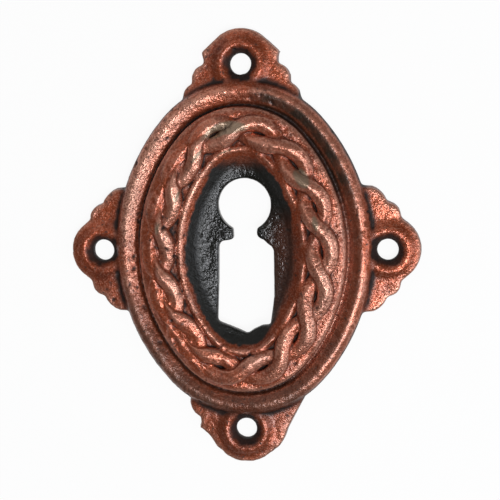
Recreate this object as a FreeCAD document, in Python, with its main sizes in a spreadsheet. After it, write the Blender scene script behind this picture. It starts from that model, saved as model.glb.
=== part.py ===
# Keyhole escutcheon: one hollow-backed iron casting for a cabinet door or drawer.
# An oval flange carries a rounded bead, a groove and a raised ring with a two-strand twisted wreath.
# Inside the ring a dished recess holds the keyhole, and four scalloped lugs take countersunk screws.
# Millimetres. The back lies on z = 0, the front faces +Z, the long axis is Y, and the origin is at
# the middle of the oval.

import FreeCAD, Part
import math
import os

import Sketcher
from FreeCAD import Placement, Rotation, Vector

doc = FreeCAD.newDocument("keyhole_escutcheon")


# Driving sizes

SIZES = [
    # The flange is a four-centred oval: two end arcs and two side arcs that meet without a corner
    ("flange_length", 55.3),
    ("flange_width", 42.4),
    ("end_radius", 17.3),
    # Bead along the flange's edge, and the groove inside it
    ("edge_height", 2.2),
    ("bead_width", 3.45),
    ("bead_crest_inset", 1.75),
    ("bead_height", 3.5),
    ("bead_inner_height", 2.8),
    ("bead_outer_swell", 0.38),
    ("groove_width", 0.7),
    ("groove_height", 2.2),
    # Raised ring: outer border, bed of the wreath, and the lip round the recess
    ("ring_height", 4.4),
    ("ring_edge_round", 0.45),
    ("border_width", 0.95),
    ("bed_width", 5.4),
    ("bed_height", 3.9),
    ("lip_width", 0.95),
    ("lip_side_height", 4.45),
    ("lip_height", 4.8),
    # Dished recess
    ("floor_height", 2.3),
    ("floor_end_radius", 1.7),
    ("dish_sag", 0.75),
    # Hollow back: one wall under the front, and a broad rim that lies on the door
    ("wall", 1.9),
    ("rim_width", 4.6),
    ("hollow_slope_width", 1.0),
    # Wreath
    ("strand_width", 2.3),
    ("strand_crown", 1.15),
    ("strand_swing", 1.6),
    ("strand_rise", 1.0),
    ("strand_height", 6.0),
    ("strand_root", 1.4),
    ("crossings", 14),
    ("wreath_shift", 0.3),
    # Lugs and their screw holes
    ("lug_height", 2.0),
    ("lug_draft", 6.0),
    ("lug_root_depth", 4.1),
    ("end_hole_reach", 2.7),
    ("side_hole_reach", 2.5),
    ("end_nose_radius", 5.85),
    ("side_nose_radius", 5.5),
    ("hole_diameter", 3.5),
    ("countersink_diameter", 5.9),
    ("countersink_angle", 90.0),
    ("seat_diameter", 7.2),
    ("seat_foot_diameter", 10.0),
    ("seat_foot_height", 1.8),
    ("seat_height", 2.7),
    # Keyhole
    ("keyhole_offset", 0.35),
    ("bow_diameter", 8.7),
    ("bow_height", 7.5),
    ("neck_width", 3.9),
    ("neck_foot", 2.6),
    ("slot_width", 9.4),
    ("slot_top", 0.9),
    ("slot_corner", 11.6),
    ("slot_bottom", 13.6),
]

sheet = doc.addObject("Spreadsheet::Sheet", "Size")
for row, (alias, value) in enumerate(SIZES, start=1):
    sheet.set("A%d" % row, alias)
    sheet.set("B%d" % row, str(value))
    sheet.setAlias("B%d" % row, alias)
doc.recompute()


def size(text):
    """Value of an expression in the sheet's sizes."""
    value = sheet.evalExpression(text)
    return float(getattr(value, "Value", value))


HALF_LENGTH = "Size.flange_length / 2"
HALF_WIDTH = "Size.flange_width / 2"
END_CENTRE = "(Size.flange_length / 2 - Size.end_radius)"
SIDE_EXCESS = "(Size.flange_width / 2 - Size.end_radius)"
SIDE_CENTRE = "((%s ^ 2 - %s ^ 2) / (2 * %s))" % (END_CENTRE, SIDE_EXCESS, SIDE_EXCESS)

# Insets from the flange's edge at which each part of the moulding starts
RING_START = "(Size.bead_width + Size.groove_width)"
BED_START = "(%s + Size.border_width)" % RING_START
LIP_START = "(%s + Size.bed_width)" % BED_START
DISH_START = "(%s + Size.lip_width)" % LIP_START
FLOOR_START = "(Size.end_radius - Size.floor_end_radius)"

# Height of the dish half-way down, hollowed below a straight slope from the lip to the floor
DISH_HEIGHT = "((Size.lip_side_height + Size.floor_height) / 2 - Size.dish_sag)"
WREATH_LINE = "(%s + Size.bed_width / 2)" % BED_START


# Sketches

def origin_plane(body, role):
    """One of the body's own origin planes."""
    return next(item for item in body.Origin.OriginFeatures if item.Role == role)


def new_sketch(body, name, role="XY_Plane"):
    """A sketch on one of the body's own origin planes."""
    sketch = body.newObject("Sketcher::SketchObject", name)
    sketch.AttachmentSupport = [(origin_plane(body, role), "")]
    sketch.MapMode = "FlatFace"
    return sketch


def bind(sketch, kind, arguments, text):
    """Add a constraint whose value follows an expression."""
    number = sketch.addConstraint(Sketcher.Constraint(kind, *arguments, size(text)))
    sketch.setExpression("Constraints[%d]" % number, text)


def draw_outline(sketch, corners):
    """Closed outline through corners of (x, y, swell). Each is an expression, and the swell is how
    far the stretch to the next corner bows outward, inward if negative, or None if it is straight."""
    points = [Vector(size(x), size(y), 0) for x, y, swell in corners]
    count = len(corners)
    area = sum(points[i - 1].x * points[i].y - points[i].x * points[i - 1].y for i in range(count))
    edges = []
    for number, (x, y, swell) in enumerate(corners):
        start = points[number]
        finish = points[(number + 1) % count]
        if swell is None:
            edges.append((sketch.addGeometry(Part.LineSegment(start, finish)), 1))
            continue
        run = finish - start
        right = Vector(run.y, -run.x, 0).normalize()
        bow = size(swell) * math.copysign(1, area)
        radius = run.Length ** 2 / (8 * abs(bow)) + abs(bow) / 2
        centre = (start + finish) * 0.5 + right * (bow - math.copysign(radius, bow))
        first, last = (start, finish) if bow > 0 else (finish, start)
        angles = [math.atan2(point.y - centre.y, point.x - centre.x) for point in (first, last)]
        circle = Part.Circle(centre, Vector(0, 0, 1), radius)
        edge = sketch.addGeometry(Part.ArcOfCircle(circle, *angles))
        edges.append((edge, 1 if bow > 0 else 2))
    for number, (edge, start_end) in enumerate(edges):
        x, y, swell = corners[number]
        next_x, next_y, next_swell = corners[(number + 1) % count]
        next_edge, next_start = edges[(number + 1) % count]
        sketch.addConstraint(Sketcher.Constraint("Coincident", edge, 3 - start_end, next_edge, next_start))
        bind(sketch, "DistanceX", (-1, 1, edge, start_end), x)
        bind(sketch, "DistanceY", (-1, 1, edge, start_end), y)
        if swell is not None:
            chord_squared = "((%s - (%s)) ^ 2 + (%s - (%s)) ^ 2)" % (next_x, x, next_y, y)
            bow = "abs(%s)" % swell
            bind(sketch, "Radius", (edge,), "%s / (8 * %s) + %s / 2" % (chord_squared, bow, bow))


# Moulded plate: one section turned about the centres of the oval's arcs

plate = doc.addObject("PartDesign::Body", "plate")


def section(name, role, half_reach, centre):
    """Section of the moulding from the flange's edge to the floor of the recess, with the line
    that it turns about."""
    def at(inset):
        return "(%s - %s)" % (half_reach, inset)

    sketch = new_sketch(plate, name, role)
    draw_outline(sketch, [
        (at("0"), "0", None),
        (at("0"), "Size.edge_height", "Size.bead_outer_swell"),
        (at("Size.bead_crest_inset"), "Size.bead_height", None),
        (at("Size.bead_width"), "Size.bead_inner_height", None),
        (at("Size.bead_width"), "Size.groove_height", None),
        (at(RING_START), "Size.groove_height", None),
        (at(RING_START), "Size.ring_height - Size.ring_edge_round", None),
        (at("(%s + Size.ring_edge_round)" % RING_START), "Size.ring_height", None),
        (at(BED_START), "Size.ring_height", None),
        (at(BED_START), "Size.bed_height", None),
        (at(LIP_START), "Size.bed_height", None),
        (at(LIP_START), "Size.lip_side_height", None),
        (at("(%s + Size.lip_width / 2)" % LIP_START), "Size.lip_height", None),
        (at(DISH_START), "Size.lip_side_height", None),
        (at("(%s + %s) / 2" % (DISH_START, FLOOR_START)), DISH_HEIGHT, None),
        (at(FLOOR_START), "Size.floor_height", None),
        (at(FLOOR_START), "Size.floor_height - Size.wall", None),
        (at(DISH_START), "Size.bed_height - Size.wall", None),
        (at("(Size.rim_width + Size.hollow_slope_width)"), "Size.bed_height - Size.wall", None),
        (at("Size.rim_width"), "0", None),
    ])
    foot = Vector(size(centre), 0, 0)
    axis = sketch.addGeometry(Part.LineSegment(foot, foot + Vector(0, size("Size.ring_height"), 0)), True)
    bind(sketch, "DistanceX", (-1, 1, axis, 1), centre)
    bind(sketch, "DistanceY", (-1, 1, axis, 1), "0")
    bind(sketch, "DistanceY", (axis, 1, axis, 2), "Size.ring_height")
    sketch.addConstraint(Sketcher.Constraint("Vertical", axis))
    return sketch


def turned_arc(name, role, half_reach, centre, angle, mirror_role):
    """The section turned through one arc of the oval, and its twin on the other side."""
    sketch = section(name + "_section", role, half_reach, centre)
    turn = plate.newObject("PartDesign::Revolution", name)
    turn.Profile = sketch
    turn.ReferenceAxis = (sketch, ["Axis0"])
    turn.Midplane = True
    turn.setExpression("Angle", angle)
    doc.recompute()
    twin = plate.newObject("PartDesign::Mirrored", name + "_twin")
    twin.Originals = [turn]
    twin.MirrorPlane = (origin_plane(plate, mirror_role), "")
    plate.Tip = twin
    doc.recompute()


turned_arc("end_arc", "YZ_Plane", HALF_LENGTH, END_CENTRE,
           "2 * atan(%s / %s)" % (SIDE_CENTRE, END_CENTRE), "XZ_Plane")
turned_arc("side_arc", "XZ_Plane", HALF_WIDTH, "-" + SIDE_CENTRE,
           "2 * atan(%s / %s)" % (END_CENTRE, SIDE_CENTRE), "YZ_Plane")


# Floor of the recess

def draw_oval(sketch, inset):
    """The flange's oval, that far inside its edge, through the four joints of its arcs."""
    between_centres = "sqrt(%s ^ 2 + %s ^ 2)" % (END_CENTRE, SIDE_CENTRE)
    end_radius = "(Size.end_radius - %s)" % inset
    side_radius = "(%s + %s - %s)" % (HALF_WIDTH, SIDE_CENTRE, inset)
    x = "%s * %s / %s" % (end_radius, SIDE_CENTRE, between_centres)
    y = "%s * (1 + %s / %s)" % (END_CENTRE, end_radius, between_centres)
    end_swell = "%s * (1 - %s / %s)" % (end_radius, END_CENTRE, between_centres)
    side_swell = "%s * (1 - %s / %s)" % (side_radius, SIDE_CENTRE, between_centres)
    draw_outline(sketch, [
        (x, y, end_swell),
        ("-" + x, y, side_swell),
        ("-" + x, "-" + y, end_swell),
        (x, "-" + y, side_swell),
    ])


floor_outline = new_sketch(plate, "floor_outline")
draw_oval(floor_outline, FLOOR_START)
floor_outline.setExpression("AttachmentOffset.Base.z", "Size.floor_height - Size.wall")
floor = plate.newObject("PartDesign::Pad", "recess_floor")
floor.Profile = floor_outline
floor.setExpression("Length", "Size.wall")
doc.recompute()


# Lugs: scalloped ears with a raised seat and a countersunk hole

# Half outlines of a lug from its nose down to the flange, across and along from the screw hole.
# The bottom lug's cusps sit lower on one side, and its other flank came out of the sand nearly plain.
END_FLANK = [
    ("6.5", "2.0", "-0.1"),
    ("6.15", "0", "0.85"),
    ("8.1", "-3.1", "0.6"),
    ("9.8", "-5.9", None),
]
CUSPED_FLANK = [
    ("3.6", "4.1", "0.1"),
    ("5.3", "3.2", "-0.35"),
    ("8.2", "-0.1", "-0.2"),
    ("8.0", "-2.0", "0.5"),
    ("9.8", "-4.8", None),
]
PLAIN_FLANK = [
    ("5.6", "3.1", "0.2"),
    ("7.1", "0", None),
    ("10.2", "-5.9", None),
]
SIDE_FLANK = [
    ("5.4", "2.1", "0.75"),
    ("7.9", "-0.1", "0.45"),
    ("10.5", "-2.6", None),
    ("10.6", "-4.2", None),
]


def lug_corners(hole_reach, nose_radius, right_flank, left_flank):
    """Outline of a lug round its screw hole, its own Y axis pointing outward."""
    root = "-(%s + Size.lug_root_depth)" % hole_reach
    nose_across = "0.7 * " + nose_radius
    nose_along = "0.714 * " + nose_radius
    corners = [(nose_across, nose_along, None)] + right_flank
    for side, flank in (("", right_flank), ("-", left_flank)):
        across, along, swell = flank[-1]
        corners.append(("%s(%s - 1)" % (side, across), root, None))
    swells_back = [flank_corner[2] for flank_corner in left_flank[-2::-1]] + [None]
    for (across, along, swell), swell_back in zip(left_flank[::-1], swells_back):
        corners.append(("-" + across, along, swell_back))
    corners.append(("-" + nose_across, nose_along, "0.286 * " + nose_radius))
    return corners


def lug(name, hole_place, hole_reach, turn, nose_radius, right_flank, left_flank):
    """One lug, drawn in from its foot to its top as a casting leaves the sand."""
    top_scale = "(1 - Size.lug_height * tan(Size.lug_draft) / %s)" % nose_radius
    outlines = []
    for level, height, scale in (("foot", "0", "1"), ("top", "Size.lug_height", top_scale)):
        outline = new_sketch(plate, "%s_%s" % (name, level))
        outline.AttachmentOffset = Placement(Vector(0, 0, 0), Rotation(Vector(0, 0, 1), -turn))
        outline.setExpression("AttachmentOffset.Base.x", hole_place[0])
        outline.setExpression("AttachmentOffset.Base.y", hole_place[1])
        outline.setExpression("AttachmentOffset.Base.z", height)
        scaled = []
        for across, along, swell in lug_corners(hole_reach, nose_radius, right_flank, left_flank):
            scaled_swell = swell and "(%s) * %s" % (swell, scale)
            scaled.append(("(%s) * %s" % (across, scale), "(%s) * %s" % (along, scale), scaled_swell))
        draw_outline(outline, scaled)
        outlines.append(outline)
    loft = plate.newObject("PartDesign::AdditiveLoft", name)
    loft.Profile = outlines[0]
    loft.Sections = outlines[1:]
    loft.Ruled = True
    doc.recompute()


END_HOLE = "(%s + Size.end_hole_reach)" % HALF_LENGTH
SIDE_HOLE = "(%s + Size.side_hole_reach)" % HALF_WIDTH
HOLE_PLACES = {
    "top": ("0", END_HOLE),
    "right": (SIDE_HOLE, "0"),
    "bottom": ("0", "-" + END_HOLE),
    "left": ("-" + SIDE_HOLE, "0"),
}
END_SHAPE = ("Size.end_nose_radius", END_FLANK, END_FLANK)
FOOT_SHAPE = ("Size.end_nose_radius", CUSPED_FLANK, PLAIN_FLANK)
SIDE_SHAPE = ("Size.side_nose_radius", SIDE_FLANK, SIDE_FLANK)
lug("top_lug", HOLE_PLACES["top"], "Size.end_hole_reach", 0, *END_SHAPE)
lug("right_lug", HOLE_PLACES["right"], "Size.side_hole_reach", 90, *SIDE_SHAPE)
lug("bottom_lug", HOLE_PLACES["bottom"], "Size.end_hole_reach", 180, *FOOT_SHAPE)
lug("left_lug", HOLE_PLACES["left"], "Size.side_hole_reach", 270, *SIDE_SHAPE)

# Raised seat round each screw hole, sloping down to the lug
for side, (x, y) in HOLE_PLACES.items():
    seat = plate.newObject("PartDesign::AdditiveCone", side + "_seat")
    seat.AttachmentSupport = [(origin_plane(plate, "XY_Plane"), "")]
    seat.MapMode = "FlatFace"
    seat.setExpression("AttachmentOffset.Base.x", x)
    seat.setExpression("AttachmentOffset.Base.y", y)
    seat.setExpression("AttachmentOffset.Base.z", "Size.seat_foot_height")
    seat.setExpression("Radius1", "Size.seat_foot_diameter / 2")
    seat.setExpression("Radius2", "Size.seat_diameter / 2")
    seat.setExpression("Height", "Size.seat_height - Size.seat_foot_height")
    doc.recompute()

hole_centres = new_sketch(plate, "hole_centres")
hole_centres.setExpression("AttachmentOffset.Base.z", "Size.seat_height")
for x, y in HOLE_PLACES.values():
    centre = Vector(size(x), size(y), 0)
    radius = size("Size.hole_diameter / 2")
    circle = hole_centres.addGeometry(Part.Circle(centre, Vector(0, 0, 1), radius))
    bind(hole_centres, "DistanceX", (-1, 1, circle, 3), x)
    bind(hole_centres, "DistanceY", (-1, 1, circle, 3), y)
    bind(hole_centres, "Radius", (circle,), "Size.hole_diameter / 2")
doc.recompute()
holes = plate.newObject("PartDesign::Hole", "screw_holes")
holes.Profile = hole_centres
doc.recompute()
holes.DepthType = "ThroughAll"
holes.HoleCutType = "Countersink"
holes.HoleCutCustomValues = True
holes.setExpression("Diameter", "Size.hole_diameter")
holes.setExpression("HoleCutDiameter", "Size.countersink_diameter")
holes.setExpression("HoleCutCountersinkAngle", "Size.countersink_angle")
doc.recompute()


# Keyhole: a round bow over a wide slot, cast rough, with two cusps where they meet

def right_of_axis(distance):
    """Across the plate, measured from the keyhole's own axis."""
    return "(Size.keyhole_offset + %s)" % distance


BOW_RADIUS = "(Size.bow_diameter / 2)"
NECK = "(Size.neck_width / 2)"
SLOT = "(Size.slot_width / 2)"
NECK_TOP = "(Size.bow_height - sqrt(%s ^ 2 - %s ^ 2))" % (BOW_RADIUS, NECK)
keyhole_outline = new_sketch(plate, "keyhole_outline")
draw_outline(keyhole_outline, [
    (right_of_axis("-" + NECK), NECK_TOP, None),
    (right_of_axis("-" + NECK), "Size.neck_foot", "-0.3"),
    (right_of_axis("-(%s + 0.5)" % NECK), "Size.neck_foot - 0.9", None),
    (right_of_axis("-(%s - 1.1)" % SLOT), "Size.neck_foot - 1.0", "0.25"),
    (right_of_axis("-(%s - 0.3)" % SLOT), "Size.slot_top - 0.5", None),
    (right_of_axis("-" + SLOT), "-Size.slot_corner", "0.1"),
    (right_of_axis("-(%s - 0.3)" % SLOT), "-Size.slot_corner - 0.3", None),
    (right_of_axis("-0.4"), "-Size.slot_bottom", "0.3"),
    (right_of_axis("1.0"), "-Size.slot_bottom + 0.3", None),
    (right_of_axis("(%s - 1.9)" % SLOT), "-Size.slot_corner - 0.8", None),
    (right_of_axis("(%s - 0.6)" % SLOT), "-Size.slot_corner - 0.7", None),
    (right_of_axis(SLOT), "-Size.slot_corner + 4.0", None),
    (right_of_axis(SLOT), "Size.slot_top - 1.0", "0.2"),
    (right_of_axis("(%s - 0.9)" % SLOT), "Size.slot_top + 0.1", None),
    (right_of_axis("(%s + 0.9)" % NECK), "Size.neck_foot - 0.7", "-0.35"),
    (right_of_axis(NECK), "Size.neck_foot + 0.4", None),
    (right_of_axis(NECK), NECK_TOP, "%s + sqrt(%s ^ 2 - %s ^ 2)" % (BOW_RADIUS, BOW_RADIUS, NECK)),
])
keyhole = plate.newObject("PartDesign::Pocket", "keyhole")
keyhole.Profile = keyhole_outline
keyhole.Type = "ThroughAll"
keyhole.Reversed = True
doc.recompute()


# Wreath: two strands twisted round the ring's bed, each crossing over the other in turn

def ring_arcs():
    """Arcs of the middle of the bed, clockwise from the top: centre, radius, first angle and span."""
    end_centre = size(END_CENTRE)
    side_centre = size(SIDE_CENTRE)
    end_radius = size("Size.end_radius - %s" % WREATH_LINE)
    side_radius = size("%s + %s - %s" % (HALF_WIDTH, SIDE_CENTRE, WREATH_LINE))
    half_end = math.atan2(side_centre, end_centre)
    half_side = math.pi / 2 - half_end
    return [
        (Vector(0, end_centre, 0), end_radius, math.pi / 2, half_end),
        (Vector(-side_centre, 0, 0), side_radius, half_side, 2 * half_side),
        (Vector(0, -end_centre, 0), end_radius, -half_side, 2 * half_end),
        (Vector(side_centre, 0, 0), side_radius, math.pi + half_side, 2 * half_side),
        (Vector(0, end_centre, 0), end_radius, math.pi - half_side, half_end),
    ]


def ring_place(part):
    """Point and outward direction at that part of the way round the bed, from 0 to 1."""
    arcs = ring_arcs()
    distance = part * sum(radius * span for centre, radius, start, span in arcs)
    for centre, radius, start, span in arcs:
        if distance <= radius * span:
            break
        distance -= radius * span
    angle = start - distance / radius
    outward = Vector(math.cos(angle), math.sin(angle), 0)
    return centre + outward * radius, outward


# Sections along each strand from one crossing to the next, and flats over its crown
SECTIONS_PER_CROSSING = 5
CROWN_FLATS = 4


def strand(name, first_phase):
    """One strand: an upright section with a rounded crown, carried along a flattened helix that
    follows the ring."""
    steps = int(size("Size.crossings")) * SECTIONS_PER_CROSSING
    swing = size("Size.strand_swing")
    half_rise = size("Size.strand_rise") / 2
    crown = Vector(0, 0, size("Size.strand_crown"))
    root = Vector(0, 0, size("Size.strand_root"))
    shoulder = size("Size.strand_height") - crown.z - half_rise
    shift = Vector(-size("Size.wreath_shift"), 0, shoulder)

    def centre_at(step):
        phase = math.pi * step / SECTIONS_PER_CROSSING + first_phase
        middle, outward = ring_place(step % steps / steps)
        sideways = outward * swing * math.sin(phase)
        return middle + sideways + shift + Vector(0, 0, half_rise * math.cos(phase))

    sections = []
    for step in range(steps):
        centre = centre_at(step)
        forward = centre_at(step + 1) - centre_at(step - 1)
        across = Vector(forward.y, -forward.x, 0).normalize() * size("Size.strand_width / 2")
        left = centre - across
        right = centre + across
        outline = [left - root, left]
        for number in range(1, CROWN_FLATS):
            turn = math.pi * number / CROWN_FLATS
            outline.append(centre - across * math.cos(turn) + crown * math.sin(turn))
        outline += [right, right - root]
        sections.append(Part.makePolygon(outline + outline[:1]))
    piece = doc.addObject("Part::Feature", name)
    piece.Shape = Part.makeLoft(sections, True, False, True)
    return piece


strands = [strand("first_strand", 0), strand("second_strand", math.pi)]

casting = doc.addObject("Part::MultiFuse", "escutcheon_plate")
casting.Shapes = [plate] + strands
casting.Refine = False
casting.Label = "escutcheon_plate"
doc.recompute()


# Check every step of the model, then write the casting

for item in doc.Objects:
    if "Invalid" in item.State or "Error" in item.State:
        raise RuntimeError("%s failed: %s" % (item.Name, item.getStatusString()))
shape = casting.Shape
if shape.isNull() or not shape.isValid() or len(shape.Solids) != 1:
    raise RuntimeError("the casting is not one sound solid")
os.makedirs("parts", exist_ok=True)
shape.exportStep("parts/%s.step" % casting.Label)
print("volume %.0f mm3, faces %d, box %s" % (shape.Volume, len(shape.Faces), shape.BoundBox))
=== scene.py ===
import math

import bmesh
import bpy
import numpy
from mathutils import Matrix, Vector, noise


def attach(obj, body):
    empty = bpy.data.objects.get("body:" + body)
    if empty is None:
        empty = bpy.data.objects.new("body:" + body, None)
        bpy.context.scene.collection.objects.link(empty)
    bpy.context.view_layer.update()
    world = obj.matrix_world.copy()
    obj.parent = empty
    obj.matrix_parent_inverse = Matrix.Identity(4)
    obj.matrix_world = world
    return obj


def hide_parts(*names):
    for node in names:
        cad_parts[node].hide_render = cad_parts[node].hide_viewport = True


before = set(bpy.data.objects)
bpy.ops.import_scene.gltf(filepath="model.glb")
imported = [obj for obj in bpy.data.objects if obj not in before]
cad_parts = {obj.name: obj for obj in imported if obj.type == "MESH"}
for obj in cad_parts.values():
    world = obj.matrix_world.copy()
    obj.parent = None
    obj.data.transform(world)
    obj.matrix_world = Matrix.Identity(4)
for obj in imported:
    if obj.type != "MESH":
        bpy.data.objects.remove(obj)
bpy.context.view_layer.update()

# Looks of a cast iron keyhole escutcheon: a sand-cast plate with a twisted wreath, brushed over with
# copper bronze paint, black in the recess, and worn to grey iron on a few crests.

bl_info = {
    "name": "Cast Keyhole Escutcheon",
    "version": (1, 0, 0),
    "blender": (4, 5, 0),
    "location": "View3D > Sidebar > Escutcheon",
    "description": "Finishes a cast and painted keyhole escutcheon and lights it",
    "category": "Object",
}

NODE = "escutcheon_plate"
MM = 0.001


# Sizes that the finish follows, in millimetres, as the casting has them

HALF_LENGTH = 27.65
HALF_WIDTH = 21.2
END_RADIUS = 17.3
WREATH_INSET = 7.8
WREATH_SHIFT = -0.3
END_HOLE_REACH = 2.7
SIDE_HOLE_REACH = 2.5

END_HOLE = HALF_LENGTH + END_HOLE_REACH
SIDE_HOLE = HALF_WIDTH + SIDE_HOLE_REACH
HOLE_PLACES = ((0.0, END_HOLE), (SIDE_HOLE, 0.0), (0.0, -END_HOLE), (-SIDE_HOLE, 0.0))

# The oval has an arc round each end and one along each side, and they meet without a corner. The
# wreath's line lies inside them at one inset, and QUARTER is a quarter of its length.
END_CENTRE = HALF_LENGTH - END_RADIUS
SIDE_EXCESS = HALF_WIDTH - END_RADIUS
SIDE_CENTRE = (END_CENTRE ** 2 - SIDE_EXCESS ** 2) / (2 * SIDE_EXCESS)
END_SPAN = math.atan2(SIDE_CENTRE, END_CENTRE)
END_LINE = END_RADIUS - WREATH_INSET
SIDE_LINE = HALF_WIDTH + SIDE_CENTRE - WREATH_INSET
QUARTER = END_LINE * END_SPAN + SIDE_LINE * (math.pi / 2 - END_SPAN)

# Bands of the moulding, as insets from the flange's edge: where each one begins, is full, begins to
# end and has ended
LUG_CREASE = (-1.0, -0.3, 0.1, 0.5)
BEAD = (1.3, 1.7, 2.9, 3.3)
GROOVE = (3.1, 3.5, 4.1, 4.4)
BED = (4.6, 5.2, 10.3, 10.7)

# Stretches of the ring in the same way, as distances along the wreath's line, clockwise from the top
UPPER_RIGHT = (0, 3, 17, 21)
RIGHT_SIDE = (17, 21, 43, 48)
BOTTOM = (43, 48, 69, 77)

# Heights to which the sand left the corners filled: outside the strands, inside them, and in the
# eyes between them, and how softly the fill meets the strands
OUTER_FILL = 4.4
INNER_FILL = 4.05
EYE_FILL = 3.6
FILL_BLEND = 0.09

# Where the black enamel's edge runs in the recess, as an inset
ENAMEL_EDGE = 11.8

# Patches on the ring, each with its distance clockwise from the top, its inset, its reach along and
# across the ring, and its strength. The groove's wall on the right gets a painted highlight and no painted
# shade.
WALL_HIGHLIGHT = ((33.0, 3.75, 15.0, 0.45, 1.0),)

# Painted highlights: lighter copper on the left of the bead, the right of the wreath and the lip
HIGHLIGHT_PLACES = (
    (89.0, 1.9, 11.0, 1.0, 0.9),
    (31.0, 7.1, 9.0, 1.3, 0.7),
    (89.0, 10.9, 9.0, 0.5, 0.7),
    (47.0, 9.3, 4.0, 0.7, 0.5),
    (88.0, 8.8, 14.0, 0.9, 0.5),
    (71.5, 9.3, 3.0, 0.8, 0.5),
)

# The sand grain is sharpest on the left of the bead and at the groove's wall on the right
COARSE_PLACES = (
    (88.0, 1.9, 13.0, 1.4, 0.55),
    (33.0, 3.7, 14.0, 0.5, 0.5),
    (74.0, 10.6, 10.0, 1.2, 0.3),
    (34.0, 5.8, 17.0, 1.5, 0.45),
    (84.0, 10.2, 20.0, 1.2, 0.3),
    (8.0, 5.4, 10.0, 1.0, 0.3),
    (34.0, 9.0, 17.0, 1.6, 0.25),
    (52.0, 1.0, 9.0, 2.0, 0.2),
)

# Paint is worn through to the iron on a few strands, and once on the lip.
# The patches at 96.3 and 88.6 are painted highlights in the iron's colour.
WORN_AND_HIGHLIGHT_PLACES = (
    (-2.2, 7.4, 3.4, 1.0, 1.5),
    (13.6, 8.1, 1.8, 1.0, 1.5),
    (21.3, 8.6, 1.6, 0.6, 1.0),
    (96.3, 8.7, 1.7, 0.35, 1.0),
    (88.6, 9.2, 1.6, 0.3, 1.0),
    (82.6, 7.3, 1.6, 0.8, 0.7),
    (101.0, 10.9, 3.2, 0.3, 0.8),
)

# Sizes of what the material draws. Real moulding sand leaves a finer grain than these two, which are
# drawn as coarse as they need to show.
FINE_GRAIN = 0.3
COARSE_GRAIN = 0.8
GRAIN_DEPTH = 0.19
PAINT_CLOUD = 5
MISSED_SPECK = 0.6


# Settings

class EscutcheonCasting(bpy.types.PropertyGroup):
    """Sizes of the cast surface."""

    voxel: bpy.props.FloatProperty(
        name="Voxel", description="Mesh size of the cast surface",
        default=0.00028, unit="LENGTH")
    softening: bpy.props.IntProperty(
        name="Softening", description="How often the edges are softened, as by the sand and the paint",
        default=3)
    lump_height: bpy.props.FloatProperty(
        name="Lump height", description="Depth of the broad unevenness of the casting",
        default=0.00009, unit="LENGTH")
    strand_swell: bpy.props.FloatProperty(
        name="Strand swell", description="How much fuller the strands are than their core",
        default=0.00028, unit="LENGTH")
    grain_height: bpy.props.FloatProperty(
        name="Grain height", description="Depth of the sand grain",
        default=0.00005, unit="LENGTH")
    pit_depth: bpy.props.FloatProperty(
        name="Pit depth", description="Depth of the small casting pits",
        default=0.00022, unit="LENGTH")


class EscutcheonFinish(bpy.types.PropertyGroup):
    """Colours of the paint and of what shows through it."""

    copper: bpy.props.StringProperty(
        name="Copper paint", description="Copper bronze paint", default="#ad4f29")
    # Lighter copper for rubbed crests and for painted highlights
    copper_rub_and_highlight: bpy.props.StringProperty(
        name="Rubbed copper", description="Copper paint rubbed on raised places", default="#e2aa92")
    copper_dark: bpy.props.StringProperty(
        name="Thin copper", description="Copper paint that is thin or shaded", default="#66270f")
    # Dark colour for dirt, and for painted shade in hollows, creases and on the outer walls
    grime_and_shade: bpy.props.StringProperty(
        name="Grime", description="Dark paint and dirt in the hollows", default="#220d05")
    # Olive colour of thin dark paint and of painted shade on the bead and in the groove
    wash_and_shade: bpy.props.StringProperty(
        name="Olive wash", description="Thin dark paint over the copper", default="#2e2013")
    black_paint: bpy.props.StringProperty(
        name="Black paint", description="Black enamel in the recess", default="#0a0b06")
    # Grey of bare iron, also used for two painted highlights on the strands
    bare_iron: bpy.props.StringProperty(
        name="Bare iron", description="Iron where the paint has worn off", default="#957c66")
    roughness: bpy.props.FloatProperty(
        name="Roughness", description="Roughness of the copper paint", default=0.33, min=0, max=1)


class EscutcheonStage(bpy.types.PropertyGroup):
    """Floor and lamps."""

    floor_colour: bpy.props.StringProperty(
        name="Floor", description="Colour of the floor", default="#f6f6f4")
    floor_size: bpy.props.FloatProperty(
        name="Floor size", description="Side of the floor", default=3.0, unit="LENGTH")
    key_power: bpy.props.FloatProperty(
        name="Key lamp", description="Power of the lamp over the lower right", default=1.45, unit="POWER")
    window_power: bpy.props.FloatProperty(
        name="Window lamp", description="Power of the low cool lamp on the right",
        default=0.65, unit="POWER")
    fill_power: bpy.props.FloatProperty(
        name="Fill lamp", description="Power of the lamp over the upper left", default=0.35, unit="POWER")
    sky: bpy.props.FloatProperty(
        name="Room light", description="Strength of the even light of the room", default=0.16, min=0)


# Colour and nodes

def linear(hex_colour):
    """Linear colour of an sRGB hex value."""
    channels = [int(hex_colour[i:i + 2], 16) / 255 for i in (1, 3, 5)]
    return tuple(c / 12.92 if c <= 0.04045 else ((c + 0.055) / 1.055) ** 2.4 for c in channels) + (1.0,)


def add_node(tree, kind, inputs=None, **settings):
    """Add a node, set its properties, and give each input a value or a link."""
    node = tree.nodes.new(kind)
    for name, value in settings.items():
        setattr(node, name, value)
    for key, value in (inputs or {}).items():
        if isinstance(value, bpy.types.NodeSocket):
            tree.links.new(value, node.inputs[key])
        else:
            node.inputs[key].default_value = value
    return node


# Sockets of a Mix node go by number, because those of each kind of value have the same names
SHARE = 0
FIRST_VALUE = 2
SECOND_VALUE = 3
MIXED_VALUE = 0
FIRST_COLOUR = 6
SECOND_COLOUR = 7
MIXED_COLOUR = 2


# Places on the plate

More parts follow.
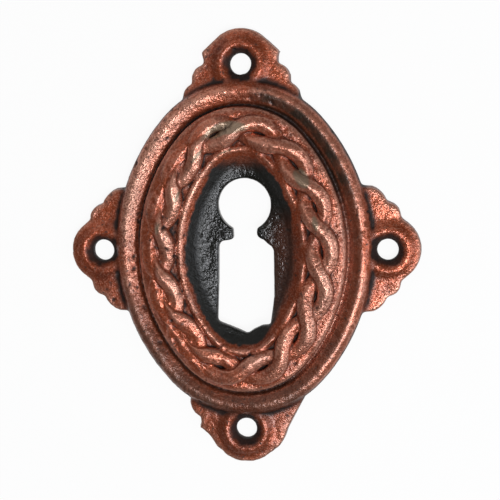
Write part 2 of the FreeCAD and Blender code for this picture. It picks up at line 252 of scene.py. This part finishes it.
def ring_places(x, y):
    """Distance round the wreath's line, clockwise from the top, and inset from the flange's edge."""
    across = numpy.abs(x)
    along = numpy.abs(y)
    end_angle = numpy.arctan2(across, along - END_CENTRE)
    side_angle = numpy.arctan2(along, across + SIDE_CENTRE)
    on_end = end_angle < END_SPAN
    end_inset = END_RADIUS - numpy.hypot(across, along - END_CENTRE)
    side_inset = HALF_WIDTH + SIDE_CENTRE - numpy.hypot(across + SIDE_CENTRE, along)
    inset = numpy.where(on_end, end_inset, side_inset)
    from_end = numpy.where(on_end, END_LINE * end_angle, QUARTER - SIDE_LINE * side_angle)
    turned = numpy.where(y >= 0, from_end, 2 * QUARTER - from_end)
    return numpy.where(x >= 0, turned, 4 * QUARTER - turned), inset


def ramp(values, low, high):
    """Smooth step from 0 at low to 1 at high."""
    part = numpy.clip((values - low) / (high - low), 0, 1)
    return part * part * (3 - 2 * part)


def band(values, begins, full, ends, ended):
    """1 between full and ends, fading to 0 on either side."""
    return ramp(values, begins, full) * (1 - ramp(values, ends, ended))


def blot(x, y, centre_x, centre_y, reach_x, reach_y):
    """Soft oval patch, 1 at its centre."""
    return numpy.exp(-((x - centre_x) / reach_x) ** 2 - ((y - centre_y) / reach_y) ** 2)


def noise_at(points, grain, seed, octaves=1):
    """Smooth noise about zero, its lumps that many millimetres across."""
    shift = Vector((17.3 * seed, -9.1 * seed, 5.7 * seed))
    values = numpy.zeros(len(points))
    for number, point in enumerate(points):
        place = Vector(point) / grain + shift
        values[number] = noise.fractal(place, 1.0, 2.0, octaves) if octaves > 1 else noise.noise(place)
    return values


def neighbour_mean(values, edges):
    """Mean of each vertex's neighbours, for values of any width."""
    count = len(values)
    ends = numpy.concatenate([edges[:, 0], edges[:, 1]])
    others = numpy.concatenate([edges[:, 1], edges[:, 0]])
    degree = numpy.maximum(numpy.bincount(ends, minlength=count), 1)
    columns = values.reshape(count, -1)[others].T
    sums = [numpy.bincount(ends, weights=column, minlength=count) for column in columns]
    return (numpy.stack(sums, axis=1) / degree[:, None]).reshape(values.shape)


def relaxed(values, edges, rounds):
    """Values smoothed over the mesh."""
    for _ in range(rounds):
        values = values * 0.5 + neighbour_mean(values, edges) * 0.5
    return values


class CastSurface:
    """The plate's mesh in millimetres, with its normals, edges and places on the ring."""

    def __init__(self, mesh):
        self.mesh = mesh
        count = len(mesh.vertices)
        places = numpy.empty(count * 3)
        mesh.vertices.foreach_get("co", places)
        normals = numpy.empty(count * 3)
        mesh.vertices.foreach_get("normal", normals)
        edges = numpy.empty(len(mesh.edges) * 2, dtype=int)
        mesh.edges.foreach_get("vertices", edges)
        self.places = places.reshape(-1, 3) / MM
        self.normals = normals.reshape(-1, 3)
        self.edges = edges.reshape(-1, 2)
        self.x, self.y, self.z = self.places.T
        self.facing = self.normals[:, 2]
        self.distance, self.inset = ring_places(self.x, self.y)

    def noise(self, grain, seed, octaves=1):
        """Smooth noise over the plate."""
        return noise_at(self.places, grain, seed, octaves)

    def patches(self, table):
        """Soft patches on the ring, from a table of them."""
        total = numpy.zeros(len(self.places))
        for centre, middle, along, across, strength in table:
            apart = (self.distance - centre + 2 * QUARTER) % (4 * QUARTER) - 2 * QUARTER
            total += blot(apart, self.inset, 0.0, middle, along, across) * strength
        return total

    def sunk(self, rounds):
        """How far each place lies under its surroundings, which are wider with more rounds."""
        return numpy.einsum("ij,ij->i", relaxed(self.places, self.edges, rounds) - self.places, self.normals)

    def put_places(self, places):
        """Move the mesh to places in millimetres."""
        self.mesh.vertices.foreach_set("co", (places * MM).ravel())
        self.mesh.update()

    def store(self, name, values):
        """Keep one number per vertex as an attribute that the material reads."""
        layer = self.mesh.attributes.new(name, "FLOAT", "POINT")
        layer.data.foreach_set("value", numpy.clip(values, 0, 1))


# The casting

def merged_copy(name):
    """A merged copy of the plate's mesh, closed and ready to remesh."""
    mesh = bpy.data.objects[NODE].data.copy()
    mesh.name = name
    mesh.materials.clear()
    shell = bmesh.new()
    shell.from_mesh(mesh)
    bmesh.ops.remove_doubles(shell, verts=shell.verts, dist=0.001 * MM)
    shell.to_mesh(mesh)
    shell.free()
    piece = bpy.data.objects.new(name, mesh)
    bpy.context.scene.collection.objects.link(piece)
    return piece


def remesh(piece, voxel):
    """Even small faces all over, as the sculpting needs."""
    modifier = piece.modifiers.new("even_faces", "REMESH")
    modifier.mode = "VOXEL"
    modifier.voxel_size = voxel
    modifier.use_smooth_shade = True
    bpy.context.view_layer.update()
    evaluated = piece.evaluated_get(bpy.context.evaluated_depsgraph_get())
    mesh = bpy.data.meshes.new_from_object(evaluated)
    piece.modifiers.clear()
    old = piece.data
    piece.data = mesh
    mesh.name = old.name + "_surface"
    bpy.data.meshes.remove(old)


def soften(piece, rounds):
    """Round the edges a little, as sand, fettling and paint do."""
    shell = bmesh.new()
    shell.from_mesh(piece.data)
    for _ in range(rounds):
        bmesh.ops.smooth_vert(shell, verts=shell.verts, factor=0.5,
                              use_axis_x=True, use_axis_y=True, use_axis_z=True)
    shell.to_mesh(piece.data)
    shell.free()
    piece.data.update()


def strand_lift(surface, in_bed, front):
    """How far the wreath and its corners go up or down, where they came out filled or shallow."""
    x, y, z = surface.x, surface.y, surface.z
    wreath = ring_places(x - WREATH_SHIFT, y)[1]
    left = ramp(-x, 1, 10)

    # The sand left the corners beside the strands filled, most of all along the ring, on the left,
    # where strand and ring run into each other
    blurred = left * 0.30 + blot(x, y, -7.5, -17.0, 9.0, 6.0) * 0.1
    outer = OUTER_FILL + (0.04 + blurred) * numpy.clip(wreath - 4.8, 0, 2.4)
    inner = INNER_FILL + blot(x, y, 6.0, 15.0, 9.0, 7.0) * 0.25
    eye = 1 - ramp(numpy.abs(wreath - WREATH_INSET), 0.75, 1.2)
    beside = numpy.where(wreath < WREATH_INSET, outer, inner)
    fill = beside * (1 - eye) + (EYE_FILL + 1.15 * left) * eye
    fill += noise_at(surface.places * (1, 1, 0), 1.0, 9, 2) * 0.12
    lift = numpy.logaddexp(fill / FILL_BLEND, z / FILL_BLEND) * FILL_BLEND - z
    lift *= in_bed * ramp(z, 3.2, 3.7) * ramp(surface.facing, -0.2, 0.1)

    # On the left the outer half of each strand hardly stands out from the ring
    outer_half = left * (1 - ramp(wreath, 6.6, 8.0))
    lift -= in_bed * outer_half * numpy.clip(z - fill, 0, 2) * 0.65 * front

    # The wreath came out shallow at the lower left and is crisp on the right
    shallow = blot(x, y, -9.5, -14.0, 6.5, 6.5) * 0.8 + blot(x, y, -1.0, -20.5, 5.0, 3.0) * 0.4
    lift -= in_bed * shallow * numpy.clip(z - 4.6, 0, 2) * 0.5 * front
    return lift


def sculpt(piece, settings):
    """Fill out the wreath, and give the front its lumps, sand grain and pits."""
    surface = CastSurface(piece.data)
    front = ramp(surface.facing, 0.0, 0.4) * ramp(surface.z, 0.4, 1.0)
    in_bed = band(surface.inset, *BED)

    # The strands are a little fuller than their core
    strand_sides = in_bed * ramp(surface.z, 3.9, 4.2) * (1 - ramp(surface.facing, 0.3, 0.9))
    rise = settings.strand_swell / MM * strand_sides

    # Broad lumps, then the sand grain, both shallower in the dish
    lump_height = settings.lump_height / MM
    grain_height = settings.grain_height / MM
    in_dish = ramp(surface.inset, 11, 12)
    rise += surface.noise(4.0, 1, 2) * lump_height * front * (1 - 0.6 * in_dish)
    rise += surface.noise(1.1, 2, 2) * grain_height * 0.8 * front * (1 - 0.6 * in_dish)
    rise += surface.noise(0.55, 3) * grain_height * front

    # Small pits where gas or loose sand marked the casting
    pits = ramp(surface.noise(0.8, 4), 0.42, 0.62) * ramp(surface.noise(6.0, 5), -0.1, 0.4)
    rise -= pits * settings.pit_depth / MM * front

    places = surface.places + surface.normals * rise[:, None]
    places[:, 2] += strand_lift(surface, in_bed, front)
    surface.put_places(places)


# Marks on the cast surface, which the material reads

def from_holes(surface):
    """Distance from the nearest screw hole's middle, uneven as a brushed edge is."""
    distances = [numpy.hypot(surface.x - hole_x, surface.y - hole_y) for hole_x, hole_y in HOLE_PLACES]
    return numpy.minimum.reduce(distances) + surface.noise(1.2, 8, 2) * 0.5


def mark_dirt_shade_and_highlight(surface, back):
    """Dirt and painted shade in the hollows, and lighter copper on the crests: rubbed paint and painted
    highlight.
    """
    sunk_a_little = surface.sunk(10)
    sunk_broadly = surface.sunk(60)
    wall_highlight = surface.patches(WALL_HIGHLIGHT)
    hole_radius = from_holes(surface)

    # Painted shade and dirt lie in the hollows, and the countersinks are darker
    dirt_and_shade = ramp(sunk_a_little, 0.02, 0.16) * 0.6 + ramp(sunk_broadly, 0.05, 0.4) * 0.7
    # The groove's wall on the right keeps no painted shade, as it has a painted highlight
    dirt_and_shade *= 1 - wall_highlight
    dirt_and_shade += (1 - ramp(hole_radius, 2.3, 3.0)) * ramp(surface.z, 0.3, 0.6) * 0.95

    # Painted shade darkens the outer walls and the crease between lugs and flange, and dirt the casting's
    # pits
    outside = 1 - ramp(surface.inset, 0.2, 0.9)
    dirt_and_shade += outside * (1 - ramp(surface.facing, 0.15, 0.6)) * 0.6
    dirt_and_shade += band(surface.inset, *LUG_CREASE) * 0.55
    pits = ramp(surface.noise(0.8, 4), 0.40, 0.55) * (0.4 + 0.6 * ramp(-surface.x, 2, 8))
    dirt_and_shade += pits * ramp(surface.noise(6.0, 5), -0.2, 0.3)

    # The back was left unpainted and has gone dark
    dirt_and_shade = numpy.maximum(dirt_and_shade * (1 - back), back * 0.5)
    surface.store("hollow", relaxed(dirt_and_shade, surface.edges, 1))

    # Every crest gets lighter copper, partly rubbed paint and partly painted highlight, apart from the seats
    # of the screws, and the listed patches are painted highlights
    crest = ramp(-sunk_a_little, 0.01, 0.10) * 0.6 + ramp(-sunk_broadly, 0.04, 0.3) * 0.6
    beside_hole = 1 - ramp(hole_radius, 4.2, 5.2)
    highlight_and_rub = surface.patches(HIGHLIGHT_PLACES) * ramp(surface.facing, 0.3, 0.8)
    crest = crest * 0.6 * (1 - beside_hole) + wall_highlight * 0.7 + highlight_and_rub
    surface.store("crest", relaxed(crest * (1 - back), surface.edges, 1))


def mark_enamel(surface, back, ragged):
    """Black enamel, brushed into the recess by hand, so that its edge wanders over the dish."""
    x, y, inset = surface.x, surface.y, surface.inset
    # On the right and lower right the black fades into copper over a wider band and stays lighter, a painted
    # reflection of copper in the enamel
    copper_reflection_side = ramp(x, 3, 7) * (1 - ramp(y, 2, 8))
    edge = ENAMEL_EDGE + ragged * 0.45 + 0.4 * blot(x, y, -8.0, 9.0, 3.0, 5.0)
    black = ramp(inset - edge, -0.1, 0.3 + 1.1 * copper_reflection_side) * (1 - 0.15 * copper_reflection_side)
    black *= 1 - 0.45 * blot(x, y, 0.0, 15.2, 5.0, 1.1)
    keyhole_walls = ramp(inset, 11.6, 12.2) * (1 - ramp(surface.facing, 0.2, 0.5))

    # It is wet-looking in the middle and dry where it was brushed out
    surface.store("wet", ramp(inset, 12.4, 14.8))
    surface.store("black_paint", numpy.maximum(black, keyhole_walls) * (1 - back))


def mark_grain(surface):
    """How sharp the sand grain is: more in the dish, on the lugs and in the coarse places."""
    on_lugs = ramp(-surface.inset, -0.2, 0.4) * (0.05 + 0.12 * ramp(surface.x, 5, 15))
    in_dish = 0.25 * ramp(surface.inset, 12, 13)
    surface.store("grain_depth", 0.3 + in_dish + surface.patches(COARSE_PLACES) + on_lugs)


def mark_bare_iron_and_highlight(surface, back, ragged):
    """Bare iron where the paint is worn through on the crowns of the strands, and on the back, with two
    painted highlights in its colour.
    """
    front = ramp(surface.facing, -0.1, 0.3)
    worn_and_highlight = surface.patches(WORN_AND_HIGHLIGHT_PLACES) * ramp(surface.z, 4.3, 4.7) * front
    surface.store("bare_iron", numpy.maximum(ramp(worn_and_highlight + ragged * 0.15, 0.35, 0.7), back * 0.85))


def mark_wash_and_shade(surface, ragged):
    """Thin dark paint and painted shade over the bead at the upper right and the bottom, and in the groove
    there.
    """
    distance, inset = surface.distance, surface.inset
    upper_right = band(distance, *UPPER_RIGHT)
    right_side = band(distance, *RIGHT_SIDE)
    bottom = band(distance, *BOTTOM)
    wash_and_shade = band(inset, *BEAD) * (upper_right + right_side * 0.6)
    wash_and_shade = wash_and_shade + band(inset, *GROOVE) * (upper_right + bottom * 0.8)
    wash_and_shade += (1 - ramp(inset, *BEAD[2:])) * bottom * (0.3 + 0.45 * ramp(inset, -0.2, 0.4))
    surface.store("dark_wash", wash_and_shade * (0.85 + ragged * 0.25))


def mark_surface(piece):
    """Attributes for dirt and painted shade, rubbed crests and painted highlights, black enamel, grain, bare
    iron and thin dark paint.
    """
    surface = CastSurface(piece.data)
    back = ramp(-surface.facing, -0.05, 0.35)
    ragged = surface.noise(2.2, 6, 3) * 0.9 + surface.noise(0.5, 7) * 0.35
    mark_dirt_shade_and_highlight(surface, back)
    mark_enamel(surface, back, ragged)
    mark_grain(surface)
    mark_bare_iron_and_highlight(surface, back, ragged)
    mark_wash_and_shade(surface, ragged)


# Materials

def paint_layers(tree, finish, marks, grain, clouds, dirt_and_shade):
    """Colour of the paint, built up in the order in which brush, wear and dirt came over it, with painted
    highlights and painted shade among the layers.
    """

    # Clouds of thicker and thinner paint
    thin = add_node(tree, "ShaderNodeMapRange", {
        "Value": clouds, "From Min": 0.4, "From Max": 0.68,
        "To Min": 0.0, "To Max": 0.75}).outputs["Result"]

    # Crests are lighter: partly rubbed paint, partly painted highlight
    highlight_and_rub = add_node(tree, "ShaderNodeMath", {0: marks["crest"], 1: 0.7}, operation="MULTIPLY").outputs[0]

    # The grain's tops are lighter, rubbed and with a painted highlight, and between them is painted shade
    grain_tops_highlight = add_node(tree, "ShaderNodeMapRange", {
        "Value": grain, "From Min": 0.5, "From Max": 0.66, "To Min": 0.0, "To Max": 0.7}).outputs["Result"]
    grain_tops_highlight = add_node(tree, "ShaderNodeMath", {
        0: grain_tops_highlight, 1: marks["grain_depth"]}, operation="MULTIPLY").outputs[0]
    grain_shade = add_node(tree, "ShaderNodeMapRange", {
        "Value": grain, "From Min": 0.5, "From Max": 0.34, "To Min": 0.0, "To Max": 1.0}).outputs["Result"]
    grain_shade = add_node(tree, "ShaderNodeMath", {
        0: grain_shade, 1: marks["grain_depth"]}, operation="MULTIPLY").outputs[0]

    layers = (
        (thin, finish.copper_dark),
        (highlight_and_rub, finish.copper_rub_and_highlight),
        (grain_tops_highlight, finish.copper_rub_and_highlight),
        (grain_shade, finish.copper_dark),
        (marks["dark_wash"], finish.wash_and_shade),
        (marks["bare_iron"], finish.bare_iron),
        (dirt_and_shade, finish.grime_and_shade),
        (marks["black_paint"], finish.black_paint),
    )
    colour = linear(finish.copper)
    for share, layer in layers:
        colour = add_node(tree, "ShaderNodeMix", {
            SHARE: share, FIRST_COLOUR: colour, SECOND_COLOUR: linear(layer)},
            data_type="RGBA").outputs[MIXED_COLOUR]
    return colour


def painted_iron(finish):
    """Cast iron, brushed with copper bronze paint and black enamel. Fine metal flakes in the paint
    give a satin metallic sheen that the sand grain breaks into sparkle, and a thin varnish over the
    copper adds small white glints. The enamel is smooth and wet-looking, and bare iron is grey."""
    material = bpy.data.materials.new("painted_cast_iron")
    material.use_nodes = True
    tree = material.node_tree
    tree.nodes.clear()
    place = add_node(tree, "ShaderNodeTexCoord").outputs["Object"]

    marks = {}
    for name in ("hollow", "crest", "black_paint", "bare_iron", "dark_wash", "grain_depth", "wet"):
        marks[name] = add_node(tree, "ShaderNodeAttribute", attribute_name=name).outputs["Fac"]

    # Sand grain, with a coarser one under it
    fine = add_node(tree, "ShaderNodeTexNoise", {
        "Vector": place, "Scale": 1 / (FINE_GRAIN * MM), "Detail": 1.5, "Roughness": 0.6}).outputs["Fac"]
    coarse = add_node(tree, "ShaderNodeTexNoise", {
        "Vector": place, "Scale": 1 / (COARSE_GRAIN * MM), "Detail": 1.0}).outputs["Fac"]
    grain = add_node(tree, "ShaderNodeMath", {0: coarse, 1: fine}, operation="ADD").outputs[0]
    bump = add_node(tree, "ShaderNodeBump", {
        "Height": grain, "Strength": marks["grain_depth"], "Distance": GRAIN_DEPTH * MM}).outputs["Normal"]

    # The paint is thicker and thinner in clouds, and it missed small pits, which show as dark specks
    clouds = add_node(tree, "ShaderNodeTexNoise", {
        "Vector": place, "Scale": 1 / (PAINT_CLOUD * MM), "Detail": 4.0, "Roughness": 0.6}).outputs["Fac"]
    specks = add_node(tree, "ShaderNodeTexNoise", {
        "Vector": place, "Scale": 1 / (MISSED_SPECK * MM), "Detail": 2.0}).outputs["Fac"]
    specks = add_node(tree, "ShaderNodeMapRange", {
        "Value": specks, "From Min": 0.63, "From Max": 0.72,
        "To Min": 0.0, "To Max": 0.8}).outputs["Result"]
    # The hollows' dirt and painted shade join the dark specks
    dirt_and_shade = add_node(tree, "ShaderNodeMath", {0: marks["hollow"], 1: specks}, operation="MAXIMUM").outputs[0]
    colour = paint_layers(tree, finish, marks, fine, clouds, dirt_and_shade)

    # The enamel isn't metal, and dirt, painted shade and the thin dark paint are barely so
    half_dull = add_node(tree, "ShaderNodeMath", {
        0: marks["dark_wash"], 1: 0.45}, operation="MULTIPLY").outputs[0]
    dull = add_node(tree, "ShaderNodeMath", {0: dirt_and_shade, 1: half_dull}, operation="MAXIMUM").outputs[0]
    shine = add_node(tree, "ShaderNodeMapRange", {
        "Value": dull, "From Min": 0.0, "From Max": 1.0, "To Min": 0.7, "To Max": 0.2}).outputs["Result"]
    metallic = add_node(tree, "ShaderNodeMix", {
        SHARE: marks["black_paint"], FIRST_VALUE: shine, SECOND_VALUE: 0.0},
        data_type="FLOAT").outputs[MIXED_VALUE]

    # Roughness: uneven on the copper, dull in the dirt and painted shade, and smooth where the enamel is
    # wet-looking
    uneven = add_node(tree, "ShaderNodeMapRange", {
        "Value": clouds, "From Min": 0.3, "From Max": 0.7,
        "To Min": finish.roughness - 0.07, "To Max": finish.roughness + 0.12}).outputs["Result"]
    dirty = add_node(tree, "ShaderNodeMix", {
        SHARE: dull, FIRST_VALUE: uneven, SECOND_VALUE: 0.65}, data_type="FLOAT").outputs[MIXED_VALUE]
    enamel = add_node(tree, "ShaderNodeMix", {
        SHARE: marks["wet"], FIRST_VALUE: 0.6, SECOND_VALUE: 0.22},
        data_type="FLOAT").outputs[MIXED_VALUE]
    roughness = add_node(tree, "ShaderNodeMix", {
        SHARE: marks["black_paint"], FIRST_VALUE: dirty, SECOND_VALUE: enamel},
        data_type="FLOAT").outputs[MIXED_VALUE]

    # Varnish lies on the copper, and not in the dirt, the painted shade or on the enamel
    unvarnished = add_node(tree, "ShaderNodeMath", {
        0: marks["black_paint"], 1: dull}, operation="MAXIMUM").outputs[0]
    varnish = add_node(tree, "ShaderNodeMix", {
        SHARE: unvarnished, FIRST_VALUE: 0.5, SECOND_VALUE: 0.0},
        data_type="FLOAT").outputs[MIXED_VALUE]

    shader = add_node(tree, "ShaderNodeBsdfPrincipled", {
        "Base Color": colour, "Metallic": metallic, "Roughness": roughness, "Normal": bump,
        "Coat Weight": varnish, "Coat Roughness": 0.2, "Coat Normal": bump})
    add_node(tree, "ShaderNodeOutputMaterial", {"Surface": shader.outputs["BSDF"]})
    return material


# How much of the floor that is seen is its glow, the rest being lit paper
FLOOR_GLOW = 0.92


def white_floor(stage):
    """Matt white paper. It glows a little to the camera and in reflections, so that it stays white
    there, and still takes the object's shadow."""
    material = bpy.data.materials.new("matt_white_paper")
    material.use_nodes = True
    tree = material.node_tree
    tree.nodes.clear()
    paper = add_node(tree, "ShaderNodeBsdfDiffuse", {"Color": linear(stage.floor_colour)})
    glow = add_node(tree, "ShaderNodeEmission", {"Color": (1, 1, 1, 1), "Strength": 1.0})
    path = add_node(tree, "ShaderNodeLightPath")
    seen = add_node(tree, "ShaderNodeMath", {
        0: path.outputs["Is Camera Ray"], 1: path.outputs["Is Glossy Ray"]}, operation="MAXIMUM").outputs[0]
    seen = add_node(tree, "ShaderNodeMath", {
        0: seen, 1: path.outputs["Is Transmission Ray"]}, operation="MAXIMUM").outputs[0]
    share = add_node(tree, "ShaderNodeMath", {0: seen, 1: FLOOR_GLOW}, operation="MULTIPLY").outputs[0]
    mixed = add_node(tree, "ShaderNodeMixShader", {0: share, 1: paper.outputs[0], 2: glow.outputs[0]})
    add_node(tree, "ShaderNodeOutputMaterial", {"Surface": mixed.outputs[0]})
    return material


class ESCUTCHEON_OT_casting(bpy.types.Operator):
    """Sculpt and paint the cast plate"""

    bl_idname = "escutcheon.casting"
    bl_label = "Cast plate"

    def execute(self, context):
        settings = context.scene.escutcheon_casting
        piece = merged_copy("cast_plate")
        remesh(piece, settings.voxel)
        soften(piece, settings.softening)
        sculpt(piece, settings)
        mark_surface(piece)
        piece.data.materials.append(painted_iron(context.scene.escutcheon_finish))
        piece.data.shade_smooth()
        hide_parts(NODE)
        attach(piece, "root")
        return {"FINISHED"}


# Stage, in metres

LAMP_DISTANCE = 0.5
FLOOR_DROP = 0.02 * MM
ROOM_COLOUR = "#e8e6e2"

# Each lamp's name, the setting of its power, its direction from the plate, its sides and its colour
LAMPS = (
    ("key_lamp", "key_power", (0.24, -0.26, 0.93), (0.12, 0.2), "#f8faff"),
    ("window_lamp", "window_power", (0.78, -0.14, 0.60), (0.2, 0.3), "#eef4ff"),
    ("fill_lamp", "fill_power", (-0.40, 0.55, 0.73), (0.4, 0.4), "#ffffff"),
)


def add_lamp(name, power, direction, sides, colour):
    """A soft rectangular lamp that faces the plate's middle."""
    lamp = bpy.data.lights.new(name, "AREA")
    lamp.shape = "RECTANGLE"
    lamp.size, lamp.size_y = sides
    lamp.energy = power
    lamp.color = linear(colour)[:3]
    holder = bpy.data.objects.new(name, lamp)
    outward = Vector(direction).normalized()
    holder.location = outward * LAMP_DISTANCE
    holder.rotation_euler = outward.to_track_quat("Z", "Y").to_euler()
    bpy.context.scene.collection.objects.link(holder)


def add_floor(stage):
    """The white floor, a hair below the plate."""
    mesh = bpy.data.meshes.new("floor")
    sheet = bmesh.new()
    bmesh.ops.create_grid(sheet, x_segments=1, y_segments=1, size=stage.floor_size / 2)
    bmesh.ops.translate(sheet, verts=sheet.verts, vec=(0, 0, -FLOOR_DROP))
    sheet.to_mesh(mesh)
    sheet.free()
    floor = bpy.data.objects.new("floor", mesh)
    floor.data.materials.append(white_floor(stage))
    bpy.context.scene.collection.objects.link(floor)


# The photograph's view: turns of the plate against the camera, and the camera's place over it
VIEW_TURN_X = 0.123112
VIEW_TURN_Y = -0.125119
VIEW_TURN_Z = 0.001176
VIEW_SHIFT = (0.8936 * MM, -0.20898 * MM)
VIEW_DISTANCE = 180 * MM
PICTURE_SIDE = 500
PIXELS_PER_MM = 6.0
SENSOR = 36.0
NEAREST_SEEN = 0.01


def add_camera():
    """The camera, over the plate's upper right, as the photograph was taken."""
    camera = bpy.data.cameras.new("view")
    camera.sensor_width = SENSOR
    camera.lens = SENSOR * PIXELS_PER_MM * (VIEW_DISTANCE / MM) / PICTURE_SIDE
    camera.clip_start = NEAREST_SEEN
    holder = bpy.data.objects.new("view", camera)
    turn = Matrix.Rotation(VIEW_TURN_Z, 3, "Z")
    turn = turn @ Matrix.Rotation(VIEW_TURN_Y, 3, "Y") @ Matrix.Rotation(VIEW_TURN_X, 3, "X")
    back = turn.transposed()
    place = back @ Vector((*VIEW_SHIFT, VIEW_DISTANCE))
    holder.matrix_world = Matrix.Translation(place) @ back.to_4x4()
    bpy.context.scene.collection.objects.link(holder)
    bpy.context.scene.camera = holder


def add_room(scene, strength):
    """Even pale light from all round, and the plain view transform."""
    world = bpy.data.worlds.new("room")
    world.use_nodes = True
    background = world.node_tree.nodes["Background"]
    background.inputs["Color"].default_value = linear(ROOM_COLOUR)
    background.inputs["Strength"].default_value = strength
    scene.world = world
    scene.view_settings.view_transform = "Standard"


class ESCUTCHEON_OT_stage(bpy.types.Operator):
    """Lay out the white floor, the soft lamps and the camera"""

    bl_idname = "escutcheon.stage"
    bl_label = "Stage"

    def execute(self, context):
        stage = context.scene.escutcheon_stage
        add_floor(stage)
        for name, power, direction, sides, colour in LAMPS:
            add_lamp(name, getattr(stage, power), direction, sides, colour)
        add_camera()
        add_room(context.scene, stage.sky)
        return {"FINISHED"}


class ESCUTCHEON_PT_panel(bpy.types.Panel):
    """Sizes, colours and steps of the escutcheon"""

    bl_idname = "ESCUTCHEON_PT_panel"
    bl_label = "Escutcheon"
    bl_space_type = "VIEW_3D"
    bl_region_type = "UI"
    bl_category = "Escutcheon"

    def draw(self, context):
        scene = context.scene
        for title, group in (("Casting", scene.escutcheon_casting), ("Finish", scene.escutcheon_finish),
                             ("Stage", scene.escutcheon_stage)):
            self.layout.label(text=title)
            for name in group.__annotations__:
                self.layout.prop(group, name)
        self.layout.operator("escutcheon.casting")
        self.layout.operator("escutcheon.stage")


CLASSES = (EscutcheonCasting, EscutcheonFinish, EscutcheonStage,
           ESCUTCHEON_OT_casting, ESCUTCHEON_OT_stage, ESCUTCHEON_PT_panel)


def register():
    for item in CLASSES:
        bpy.utils.register_class(item)
    scene = bpy.types.Scene
    scene.escutcheon_casting = bpy.props.PointerProperty(type=EscutcheonCasting)
    scene.escutcheon_finish = bpy.props.PointerProperty(type=EscutcheonFinish)
    scene.escutcheon_stage = bpy.props.PointerProperty(type=EscutcheonStage)


def unregister():
    scene = bpy.types.Scene
    del scene.escutcheon_stage
    del scene.escutcheon_finish
    del scene.escutcheon_casting
    for item in reversed(CLASSES):
        bpy.utils.unregister_class(item)


def main():
    register()
    bpy.ops.escutcheon.casting()
    bpy.ops.escutcheon.stage()


if __name__ == "__main__":
    main()
